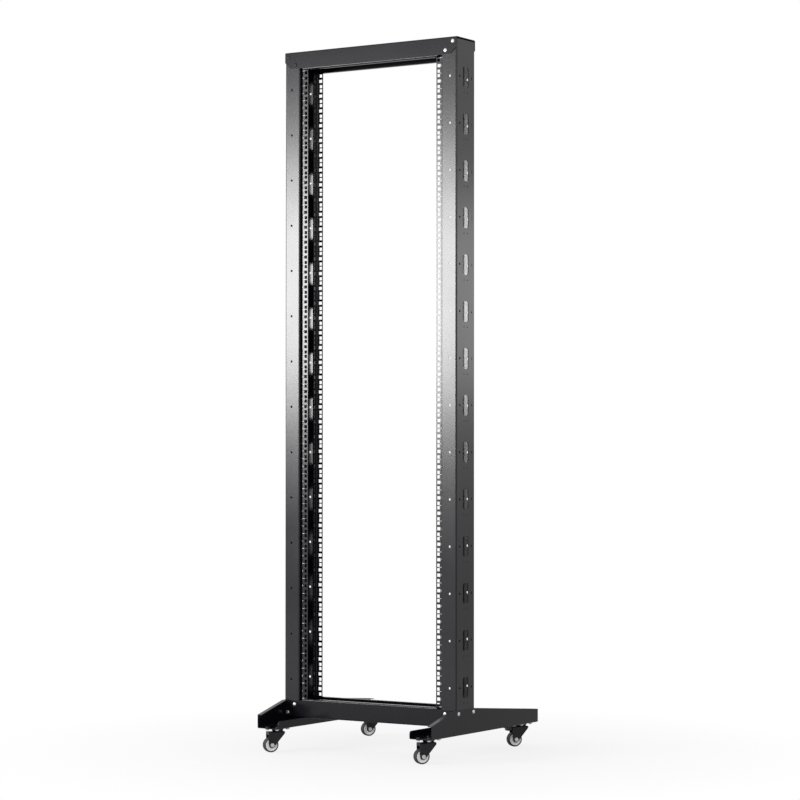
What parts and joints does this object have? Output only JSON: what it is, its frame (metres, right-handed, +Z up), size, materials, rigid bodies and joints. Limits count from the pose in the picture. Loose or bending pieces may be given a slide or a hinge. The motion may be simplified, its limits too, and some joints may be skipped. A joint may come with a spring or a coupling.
{
  "type": "freestanding equipment rack",
  "caption": "Tall open two-post equipment rack of folded steel: slotted uprights with perforated rails, top and bottom cross beams, sloped floor legs on swivel casters",
  "frame": {"origin": "On the floor, midway across the rack and midway along its legs.", "axes": "+X to the rack's right seen from the front, +Y to the rear, +Z up. The front is the side with the shorter leg ends, with the printed unit numbers."},
  "size_m": [0.604, 0.6, 2.0744],
  "materials": {
    "frame_paint": "semi-gloss black powder coat",
    "black_plate": "black-plated pressed steel",
    "black_zinc": "black-plated pressed steel",
    "bright_zinc": "bright zinc-plated steel",
    "black_rubber": "black rubber tread",
    "wheel_plastic": "light grey moulded plastic"
  },
  "bodies": {
    "frame": {"left_upright": "frame_paint", "left_front_rail": "frame_paint", "left_rear_rail": "frame_paint", "left_leg": "frame_paint", "right_upright": "frame_paint", "right_front_rail": "frame_paint", "right_rear_rail": "frame_paint", "right_leg": "frame_paint", "top_beam": "frame_paint", "bottom_beam": "frame_paint", "front_left_caster_plate": "black_plate", "front_left_swivel_pin": "black_plate", "rear_left_caster_plate": "black_plate", "rear_left_swivel_pin": "black_plate", "front_right_caster_plate": "black_plate", "front_right_swivel_pin": "black_plate", "rear_right_caster_plate": "black_plate", "rear_right_swivel_pin": "black_plate"},
    "front_left_swivel": {"front_left_fork": "black_zinc", "front_left_axle": "bright_zinc"},
    "front_left_wheel_set": {"front_left_tyre": "black_rubber", "front_left_wheel": "wheel_plastic"},
    "rear_left_swivel": {"rear_left_fork": "black_zinc", "rear_left_axle": "bright_zinc", "rear_left_brake_pedal": "black_zinc"},
    "rear_left_wheel_set": {"rear_left_tyre": "black_rubber", "rear_left_wheel": "wheel_plastic"},
    "front_right_swivel": {"front_right_fork": "black_zinc", "front_right_axle": "bright_zinc"},
    "front_right_wheel_set": {"front_right_tyre": "black_rubber", "front_right_wheel": "wheel_plastic"},
    "rear_right_swivel": {"rear_right_fork": "black_zinc", "rear_right_axle": "bright_zinc", "rear_right_brake_pedal": "black_zinc"},
    "rear_right_wheel_set": {"rear_right_tyre": "black_rubber", "rear_right_wheel": "wheel_plastic"}
  },
  "joints": [
    {"name": "front_left_swivel_turn", "type": "hinge", "parent": "frame", "child": "front_left_swivel", "pos_m": [-0.2625, -0.255, 0.061], "axis": [0, 0, 1], "continuous": true},
    {"name": "front_left_wheel_spin", "type": "hinge", "parent": "front_left_swivel", "child": "front_left_wheel_set", "pos_m": [-0.27514, -0.27177, 0.022], "axis": [0.7986, -0.6018, 0], "continuous": true},
    {"name": "rear_left_swivel_turn", "type": "hinge", "parent": "frame", "child": "rear_left_swivel", "pos_m": [-0.2625, 0.265, 0.061], "axis": [0, 0, 1], "continuous": true},
    {"name": "rear_left_wheel_spin", "type": "hinge", "parent": "rear_left_swivel", "child": "rear_left_wheel_set", "pos_m": [-0.27514, 0.24823, 0.022], "axis": [0.7986, -0.6018, 0], "continuous": true},
    {"name": "front_right_swivel_turn", "type": "hinge", "parent": "frame", "child": "front_right_swivel", "pos_m": [0.2625, -0.255, 0.061], "axis": [0, 0, 1], "continuous": true},
    {"name": "front_right_wheel_spin", "type": "hinge", "parent": "front_right_swivel", "child": "front_right_wheel_set", "pos_m": [0.24986, -0.27177, 0.022], "axis": [0.7986, -0.6018, 0], "continuous": true},
    {"name": "rear_right_swivel_turn", "type": "hinge", "parent": "frame", "child": "rear_right_swivel", "pos_m": [0.2625, 0.265, 0.061], "axis": [0, 0, 1], "continuous": true},
    {"name": "rear_right_wheel_spin", "type": "hinge", "parent": "rear_right_swivel", "child": "rear_right_wheel_set", "pos_m": [0.24986, 0.24823, 0.022], "axis": [0.7986, -0.6018, 0], "continuous": true}
  ]
}
